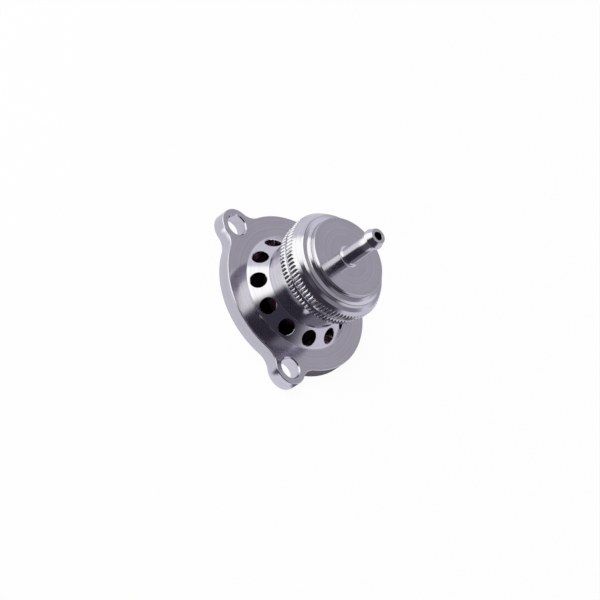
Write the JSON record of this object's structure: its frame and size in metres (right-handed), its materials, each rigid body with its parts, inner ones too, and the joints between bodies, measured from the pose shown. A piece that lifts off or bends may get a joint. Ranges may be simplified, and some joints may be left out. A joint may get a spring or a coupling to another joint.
{
  "type": "blow off valve",
  "caption": "Spring-loaded piston blow off valve: lugged flange with a vented cone, a knurled screw cap and a barbed hose nipple. Lifts to vent charge air.",
  "frame": {"origin": "centre of the mounting face, on the axis of the piston", "axes": "+Z along the piston's axis from the mounting face to the hose nipple; +Y through one bolt lug"},
  "size_m": [0.0576, 0.0581, 0.0435],
  "materials": {
    "machined_aluminium": "bright turned and polished",
    "anodised_piston": "dark anodised",
    "seal_rubber": "matt",
    "guide_polymer": "smooth",
    "spring_steel": "drawn wire and strip"
  },
  "bodies": {
    "valve": {"valve_body": "machined_aluminium", "base_oring": "seal_rubber", "return_spring": "spring_steel"},
    "piston": {"piston": "anodised_piston", "piston_seal": "seal_rubber", "piston_guide_ring": "guide_polymer", "piston_oring": "seal_rubber"},
    "cap_seal": {"cap_oring": "seal_rubber"},
    "cap": {"cap": "machined_aluminium", "hose_nipple": "machined_aluminium", "spring_shim_1": "spring_steel", "spring_shim_2": "spring_steel"}
  },
  "joints": [
    {"name": "piston_lift", "type": "slide", "parent": "valve", "child": "piston", "axis": [0, 0, 1], "range_m": [0, 0.007], "stiffness_N_per_m": 1500, "springref_m": -0.01, "deforming": ["return_spring"]},
    {"name": "cap_rise", "type": "slide", "parent": "valve", "child": "cap_seal", "axis": [0, 0, 1], "range_m": [0, 0.0046]},
    {"name": "cap_turn", "type": "hinge", "parent": "cap_seal", "child": "cap", "pos_m": [0, 0, 0.0204], "axis": [0, 0, 1], "range_deg": [0, 1080]}
  ],
  "couplings": [
    {"joint": "cap_rise", "follows": "cap_turn", "m_per_rad": 0.00023873}
  ]
}
